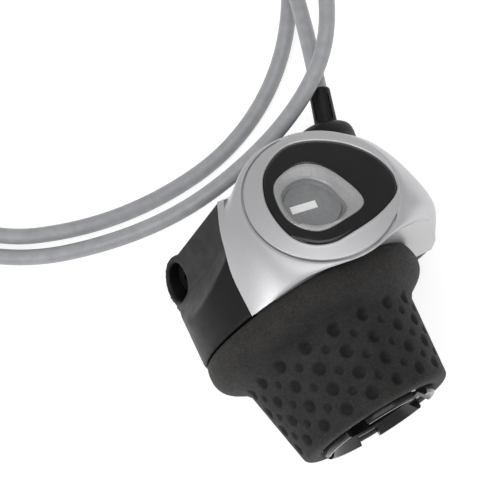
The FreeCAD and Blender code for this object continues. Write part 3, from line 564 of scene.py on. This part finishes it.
# How each outline is stretched and moved to its place: (times, plus) along u, then along v.
PANEL_STRETCH = ((1.025, 0.37), (1.055, -0.37))
WINDOW_STRETCH = ((1.065, 0.12), (1.035, -1.0))
OPENING_STRETCH = ((1.06, 0.25), (1.08, -0.75))
OUTLINE_MIDDLE = (-1.0, -0.6)
CROWN_TOP = 1.75
CROWN_FALL = 0.0047
RIM_FALL = 1.1
RIM_FALL_POWER = 1.3
RIM_BANDS = 5
PANEL_BANDS = 8
LENS_BANDS = 8
LENS_CROWN = 0.15
DIAL = (-1.8, -1.4)
DIAL_HOLE_R = 6.7
DIAL_FLOOR = -1.9
DIAL_RIM_ANGLES = [math.tau * k / 16 for k in range(16)]
DISPLAY_STEPS = 240
GROOVE_R = 17.5
GROOVE_HALF = 0.24


def stretched(outline, stretch):
    """An outline scaled and moved along u and along v."""
    (times_u, plus_u), (times_v, plus_v) = stretch
    return [(u * times_u + plus_u, v * times_v + plus_v) for u, v in outline]


def on_display(u, v, lift):
    return DISPLAY_CENTRE + DISPLAY_U * u + DISPLAY_SIDE * v + DISPLAY_N * lift


def dome(rho):
    """Height of the gently crowned display top at a distance from its centre."""
    return CROWN_TOP - CROWN_FALL * rho * rho


def groove_share(angle):
    """The groove shows from the top left round the near side and fades to nothing on the far side."""
    degrees = math.degrees(angle) % 360.0
    return min(1.0, max(0.0, (degrees - 112.0) / 14.0)) * min(1.0, max(0.0, (350.0 - degrees) / 12.0))


def ring_piece(name, rows, slot, *stands_for, centre=(0.0, 0.0), closed=False):
    """A ring on the display from rows of (radii, lift above the dome, or a fixed lift when flat is set)."""
    verts = []
    for radii, lift, follows in rows:
        for k, radius in enumerate(radii):
            angle = math.tau * k / DISPLAY_STEPS
            u, v = centre[0] + radius * math.cos(angle), centre[1] + radius * math.sin(angle)
            verts.append(on_display(u, v, lift + (dome(math.hypot(u, v)) if follows else 0.0)))
    return link_mesh(name, verts, strip_faces(len(rows), DISPLAY_STEPS, closed), slot, "housing", *stands_for)


def grown(radii, by):
    return [r + by for r in radii]


def between(first, second, share):
    return [a + (b - a) * share for a, b in zip(first, second)]


def add_bezel():
    """The ring between the panel's edge and the groove."""
    panel = loop_radii(stretched(PANEL_SHAPE, PANEL_STRETCH), (0, 0), DISPLAY_STEPS)
    groove = []
    for k in range(DISPLAY_STEPS):
        share = groove_share(math.tau * k / DISPLAY_STEPS)
        groove.append(GROOVE_R + GROOVE_HALF - 0.01 - (2 * GROOVE_HALF) * share)
    start = grown(panel, 0.75)
    rows = [(grown(panel, 0.1), -1.0, True), (grown(panel, 0.1), -0.1, True)]
    rows += [(grown(panel, 0.28), 0.12, True), (grown(panel, 0.5), 0.2, True), (start, 0.14, True)]
    for s in range(1, PANEL_BANDS):
        share = s / PANEL_BANDS
        rows.append((between(start, groove, share), 0.14 * (1 - share), True))
    rows += [(grown(groove, -0.12), 0.0, True), (groove, -0.12, True), (groove, -1.0, True)]
    ring_piece("bezel", rows, "silver_cover", "bezel_ring")


def add_panel(window, panel):
    """The gloss panel, from the window's edge out to its own."""
    start, stop = grown(window, 0.2), grown(panel, -0.5)
    rows = [(grown(window, 0.05), -1.2, True), (grown(window, 0.05), 0.0, True), (start, 0.12, True)]
    for s in range(1, PANEL_BANDS + 1):
        rows.append((between(start, stop, s / PANEL_BANDS), 0.12, True))
    rows += [(grown(panel, -0.2), 0.02, True), (panel, -0.25, True), (panel, -1.2, True)]
    ring_piece("gloss_panel", rows, "gloss_black", "display_panel", centre=OUTLINE_MIDDLE)


def add_window_rim(window, opening):
    """The light ring that falls from the panel to the opening."""
    start = grown(window, -0.2)
    rows = [(window, -1.0, True), (window, -0.02, True), (start, 0.02, True)]
    for s in range(1, RIM_BANDS + 1):
        share = s / RIM_BANDS
        rows.append((between(start, opening, share), -0.02 - RIM_FALL * share ** RIM_FALL_POWER, True))
    rows.append((opening, -1.5, True))
    ring_piece("window_rim", rows, "silver_trim", "window_ring", centre=OUTLINE_MIDDLE)


def add_dial_well(opening):
    """The grey recess: its wall, and its floor with the round hole of the dial."""
    rim = []
    for angle in DIAL_RIM_ANGLES:
        rim.append((DIAL[0] + DIAL_HOLE_R * math.cos(angle), DIAL[1] + DIAL_HOLE_R * math.sin(angle)))
    round_hole = loop_radii(rim, OUTLINE_MIDDLE, DISPLAY_STEPS)
    hole = [min(a, b - 0.05) for a, b in zip(round_hole, opening)]
    wall = grown(opening, 0.03)
    rows = [(wall, -1.45, True), (wall, DIAL_FLOOR, False)]
    rows += [(hole, DIAL_FLOOR, False), (hole, DIAL_FLOOR - 0.8, False)]
    ring_piece("dial_well", rows, "dial_grey", "dial_cup", centre=OUTLINE_MIDDLE)


def add_lens(window):
    """The clear lens: a crowned top over a flat underside."""
    middle = [0.0] * DISPLAY_STEPS
    start = grown(window, -0.15)
    rows = [(grown(window, -0.02), -0.5, True), (grown(window, -0.02), 0.1, True), (start, 0.2, True)]
    for s in range(1, LENS_BANDS + 1):
        rows.append((between(start, middle, s / LENS_BANDS), 0.2 + LENS_CROWN * s / LENS_BANDS, True))
    for s in range(LENS_BANDS, 0, -1):
        rows.append((between(start, middle, s / LENS_BANDS), -0.45, True))
    ring_piece("lens", rows, "lens", "window_lens", centre=OUTLINE_MIDDLE, closed=True)


def add_display():
    window = loop_radii(stretched(WINDOW_SHAPE, WINDOW_STRETCH), OUTLINE_MIDDLE, DISPLAY_STEPS)
    panel = loop_radii(stretched(PANEL_SHAPE, PANEL_STRETCH), OUTLINE_MIDDLE, DISPLAY_STEPS)
    opening = loop_radii(stretched(OPENING_SHAPE, OPENING_STRETCH), OUTLINE_MIDDLE, DISPLAY_STEPS)
    add_bezel()
    add_panel(window, panel)
    add_window_rim(window, opening)
    add_dial_well(opening)
    add_lens(window)


# Cover skirt rows: rim angle, rim radius, slope at the rim, where the skirt ends, the way it arrives there,
# and how far the curve is pulled along its first and last direction.
SKIRT = [
    [
        (238, 18.4, 0.2, (20.0, -11.3, 24.7), (0.30, -0.87, -0.40), 0.33, 0.33),
        (220, 18.4, 0.3, (10.3, -10.4, 24.25), (0.0, -0.90, -0.42), 0.33, 0.33),
        (204, 18.4, 0.4, (4.0, -8.7, 24.15), (-0.15, -0.88, -0.44), 0.33, 0.33),
        (192, 18.4, 0.4, (-1.0, -7.1, 23.7), (-0.25, -0.85, -0.46), 0.38, 0.34),
        (180, 18.4, 0.3, (-6.9, -4.5, 21.7), (-0.45, -0.68, -0.58), 0.45, 0.38),
    ],
    [
        (180, 18.4, 0.3, (-6.9, -4.5, 21.7), (-0.45, -0.50, -0.74), 0.45, 0.38),
        (168, 18.4, 0.3, (-7.0, 0.0, 18.3), (0.20, -0.20, -0.95), 0.55, 0.45),
        (150, 18.3, 0.4, (-7.0, 6.5, 13.4), (0.30, 0.0, -0.95), 0.55, 0.50),
        (125, 18.0, 0.6, (-7.0, 14.0, 7.7), (0.30, 0.0, -0.95), 0.40, 0.60),
        (98, 17.7, 1.2, (-7.0, 22.0, 1.7), (0.15, 0.0, -1.0), 0.25, 0.60),
        (74, 17.7, 1.2, (-7.0, 29.0, -3.6), (0.05, 0.0, -1.0), 0.25, 0.60),
        (60, 17.9, 0.8, (-5.4, 33.4, -7.0), (0.0, 0.1, -1.0), 0.25, 0.66),
    ],
    [
        (60, 17.9, 0.8, (-5.4, 33.4, -7.0), (0.0, 0.1, -1.0), 0.25, 0.66),
        (42, 18.0, 0.6, (3.0, 34.3, -9.5), (0.0, 0.0, -1.0), 0.25, 0.70),
        (22, 18.2, 0.5, (11.5, 34.6, -13.5), (0.0, -0.04, -1.0), 0.27, 0.72),
        (4, 18.3, 0.4, (20.2, 33.0, -21.0), (0.0, -0.30, -0.95), 0.30, 0.66),
    ],
    [
        (4, 18.3, 0.4, (20.2, 33.0, -21.0), (0.0, -0.30, -0.95), 0.30, 0.66),
        (359, 18.3, 0.4, (20.3, 34.5, -12.0), (0.1, -0.03, -1.0), 0.32, 0.68),
        (354, 18.3, 0.5, (20.3, 34.5, 0.0), (0.20, 0.0, -0.97), 0.35, 0.60),
        (348, 18.3, 0.5, (20.3, 34.0, 9.0), (0.30, 0.10, -0.90), 0.36, 0.46),
        (341, 18.3, 0.5, (20.3, 32.0, 15.0), (0.35, 0.25, -0.85), 0.36, 0.38),
        (331, 18.3, 0.45, (20.2, 27.9, 19.3), (0.30, 0.25, -0.85), 0.36, 0.36),
        (316, 18.3, 0.35, (20.1, 20.5, 22.8), (0.10, 0.10, -0.95), 0.38, 0.38),
        (296, 18.3, 0.2, (20.0, 12.0, 25.2), (-0.15, 0.0, -1.0), 0.40, 0.40),
        (270, 18.3, 0.2, (20.0, 2.8, 27.1), (0.10, -0.20, -0.97), 0.40, 0.40),
        (254, 18.4, 0.2, (20.0, -4.6, 26.8), (0.30, -0.75, -0.58), 0.38, 0.36),
        (238, 18.4, 0.2, (20.0, -11.3, 24.7), (0.30, -0.87, -0.40), 0.33, 0.33),
    ],
]
SKIRT_PER_ROW = 9
SKIRT_STEPS = 22
SKIRT_RELAX_ROUNDS = 90
BODY_MIDDLE = Vector((6.0, 6.0, 4.0))
SEAM_LIP_X = 20.1
SEAM_LIP_R = 25.4
FLANGE_CLEAR_R = 28.2
TOP_ROWS = 4
LIP_ROWS = 2


def skirt_columns():
    """Columns between the skirt's rows: end, arrival, rim (angle, radius, slope), pulls, on the seam."""
    columns = []
    for number, leg in enumerate(SKIRT):
        angles = [row[0] for row in leg]
        for k in range(1, len(angles)):
            angles[k] += 360.0 * round((angles[k - 1] - angles[k]) / 360.0)
        ends = flowing([row[3] for row in leg], SKIRT_PER_ROW)
        arrivals = flowing([row[4] for row in leg], SKIRT_PER_ROW)
        rims = flowing([(a, row[1], row[2]) for a, row in zip(angles, leg)], SKIRT_PER_ROW)
        pulls = flowing([(row[5], row[6], 0.0) for row in leg], SKIRT_PER_ROW)
        on_seam = [number == len(SKIRT) - 1] * len(ends)
        columns += list(zip(ends, arrivals, rims, pulls, on_seam))[:-1]
    return columns


def lip_points(end, on_seam):
    """Two points that carry the skirt's edge inwards, clear of the rubber flange."""
    if not on_seam:
        inward = (BODY_MIDDLE - end).normalized()
        return end + inward * 1.2, end + inward * 2.0 + DISPLAY_N * 2.0
    r = math.hypot(end.y, end.z)
    clear, lip = min(1.0, FLANGE_CLEAR_R / r), SEAM_LIP_R / r
    return Vector((end.x, end.y * clear, end.z * clear)), Vector((SEAM_LIP_X, end.y * lip, end.z * lip))


def relax_round(rows):
    """Evens out the skirt round the display, most in its middle; its rim and its edge stay."""
    last = len(rows) - 1
    for i in range(1, last):
        share = 0.5 * min(1.0, 4.0 * i / last * (1.0 - i / last))
        for _ in range(SKIRT_RELAX_ROUNDS):
            row = rows[i]
            after = row[1:] + row[:1]
            before = row[-1:] + row[:-1]
            rows[i] = [p.lerp((a + b) * 0.5, share) for p, a, b in zip(row, after, before)]


def add_cover():
    """Crowned top, groove and a skirt that falls to the black housing, the seam and the front."""
    rows = [[] for _ in range(TOP_ROWS + SKIRT_STEPS + LIP_ROWS)]
    for end, arrival, (degrees, rim_r, slope), (rim_pull, end_pull, _), on_seam in skirt_columns():
        angle = math.radians(degrees)
        ray = (math.cos(angle), math.sin(angle))
        inner = GROOVE_R + GROOVE_HALF - 0.5 * (1.0 - groove_share(angle))
        top = ((inner - 1.2, 0.9), (inner, 0.9), (inner, 0.1), (inner + 0.12, 0.0))
        for k, (rho, drop) in enumerate(top):
            rows[k].append(on_display(ray[0] * rho, ray[1] * rho, dome(rho) - drop))
        rim = on_display(ray[0] * rim_r, ray[1] * rim_r, dome(rim_r))
        leaving = (DISPLAY_U * ray[0] + DISPLAY_SIDE * ray[1] - DISPLAY_N * slope).normalized()
        reach = (end - rim).length
        first = rim + leaving * reach * rim_pull
        second = end - arrival.normalized() * reach * end_pull
        for k in range(SKIRT_STEPS):
            t = k / (SKIRT_STEPS - 1)
            s = 1 - t
            near_rim = rim * s ** 3 + first * 3 * s * s * t
            near_end = second * 3 * s * t * t + end * t ** 3
            rows[TOP_ROWS + k].append(near_rim + near_end)
        for row, point in zip(rows[TOP_ROWS + SKIRT_STEPS :], lip_points(end, on_seam)):
            row.append(point)
    skirt = rows[TOP_ROWS : TOP_ROWS + SKIRT_STEPS]
    relax_round(skirt)
    rows[TOP_ROWS : TOP_ROWS + SKIRT_STEPS] = skirt
    verts = [p for row in rows for p in row]
    faces = strip_faces(len(rows), len(rows[0]))
    cover = link_mesh("silver_cover", verts, faces, "silver_cover", "housing", "housing_cover")
    keep_creases(cover, 50)


# ---------------------------------------------------------------- housing and outlet dome


def soften(name, node, slot, body, voxel_mm, rounds):
    """Moulded edges: the CAD solid remeshed and its edges rounded."""
    source = nodes[node]
    piece = bpy.data.objects.new(name, source.data.copy())
    bpy.context.scene.collection.objects.link(piece)
    remesh = piece.modifiers.new("remesh", "REMESH")
    remesh.mode = "VOXEL"
    remesh.voxel_size = voxel_mm * MM
    relax = piece.modifiers.new("relax", "SMOOTH")
    relax.factor = 0.5
    relax.iterations = rounds
    deps = bpy.context.evaluated_depsgraph_get()
    data = bpy.data.meshes.new_from_object(piece.evaluated_get(deps))
    piece.modifiers.clear()
    piece.data = data
    piece.data.shade_smooth()
    paint(piece, slot)
    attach(piece, body)
    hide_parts(node)
    return piece


DOME = [(9.15, 3.05), (9.25, 4.3), (10.3, 6.1), (12.4, 7.6), (15.2, 8.6), (18.0, 9.1), (20.5, 9.2)]
DOME_BORE_R = 3.05
DOME_LEAN = 1.5


def dome_lean(along, angle, radius):
    """The dome swells towards the bar: nothing at the barrel, the most at its foot."""
    return DOME_LEAN * math.cos(angle) * min(1.0, (along - DOME[0][0]) / 4.0) * (radius > DOME_BORE_R + 0.5)


def add_dome():
    outline = [tuple(p) for p in flowing(DOME, 6)] + [(DOME[-1][0], DOME_BORE_R)]
    turned_piece(
        "outlet_dome", outline, 96, "black_plastic", "housing", "outlet_boot",
        centre=OUTLET_TIP, axis=-OUTLET_DIR, shift=dome_lean,
    )


# ---------------------------------------------------------------- floor


def add_floor():
    half = FLOOR_HALF_M
    data = bpy.data.meshes.new("floor")
    corners = [(-half, -half), (half, -half), (half, half), (-half, half)]
    data.from_pydata([(x, y, FLOOR_Z * MM) for x, y in corners], [], [(0, 1, 2, 3)])
    floor = bpy.data.objects.new("floor", data)
    bpy.context.scene.collection.objects.link(floor)
    pale = Finish("floor_pale")
    two_tone(pale, 60.0, (0.48, 0.48, 0.48), (0.52, 0.52, 0.52))
    pale.rough(0.8, 0.9, 40.0)
    pale.bump(1.0, 0.01)
    pale.set(Emission_Color=(1.0, 1.0, 1.0, 1.0), Emission_Strength=0.72)
    data.materials.append(pale.material)


add_camera()
materials = make_materials()
paint_cad_nodes()
add_cable()
add_grip()
add_display()
add_cover()
soften("moulded_housing", "lower_housing", "black_plastic", "housing", 0.4, 12)
add_dome()
add_floor()
add_lights()
bpy.context.scene.view_settings.view_transform = "Standard"
